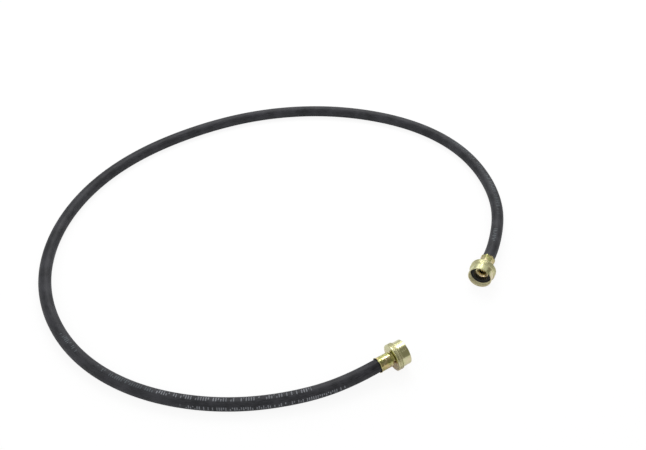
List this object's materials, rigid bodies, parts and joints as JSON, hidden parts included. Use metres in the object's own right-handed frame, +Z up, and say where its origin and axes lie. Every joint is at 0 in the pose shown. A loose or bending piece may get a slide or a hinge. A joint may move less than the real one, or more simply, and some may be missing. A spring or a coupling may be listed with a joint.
{
  "type": "washing machine fill hose",
  "caption": "Black rubber water hose lying in an open loop, with a crimped plated-steel swivel coupling, female hose thread and rubber washer on each end.",
  "frame": {"origin": "on the surface that the hose lies on, below the middle of the box round the two couplings", "axes": "+X from the tap coupling towards the machine coupling, which face each other across the gap in the loop; +Y into the loop; +Z up"},
  "size_m": [0.6008, 0.5226, 0.0318],
  "materials": {
    "hose_rubber": "satin",
    "zinc_plate": "yellow zinc plating, glossy",
    "washer_rubber": "matt"
  },
  "bodies": {
    "hose_line": {"hose": "hose_rubber", "tap_ferrule": "zinc_plate", "tap_tailpiece": "zinc_plate", "machine_ferrule": "zinc_plate", "machine_tailpiece": "zinc_plate"},
    "tap_swivel": {"tap_nut": "zinc_plate", "tap_washer": "washer_rubber"},
    "machine_swivel": {"machine_nut": "zinc_plate", "machine_washer": "washer_rubber"}
  },
  "joints": [
    {"name": "tap_nut_spin", "type": "hinge", "parent": "hose_line", "child": "tap_swivel", "pos_m": [-0.08171, 0.00151, 0.01623], "axis": [0.9403, -0.333, 0.0698], "continuous": true},
    {"name": "machine_nut_spin", "type": "hinge", "parent": "hose_line", "child": "machine_swivel", "pos_m": [0.08174, -0.0033, 0.01623], "axis": [-0.9613, -0.2666, 0.0698], "continuous": true}
  ]
}
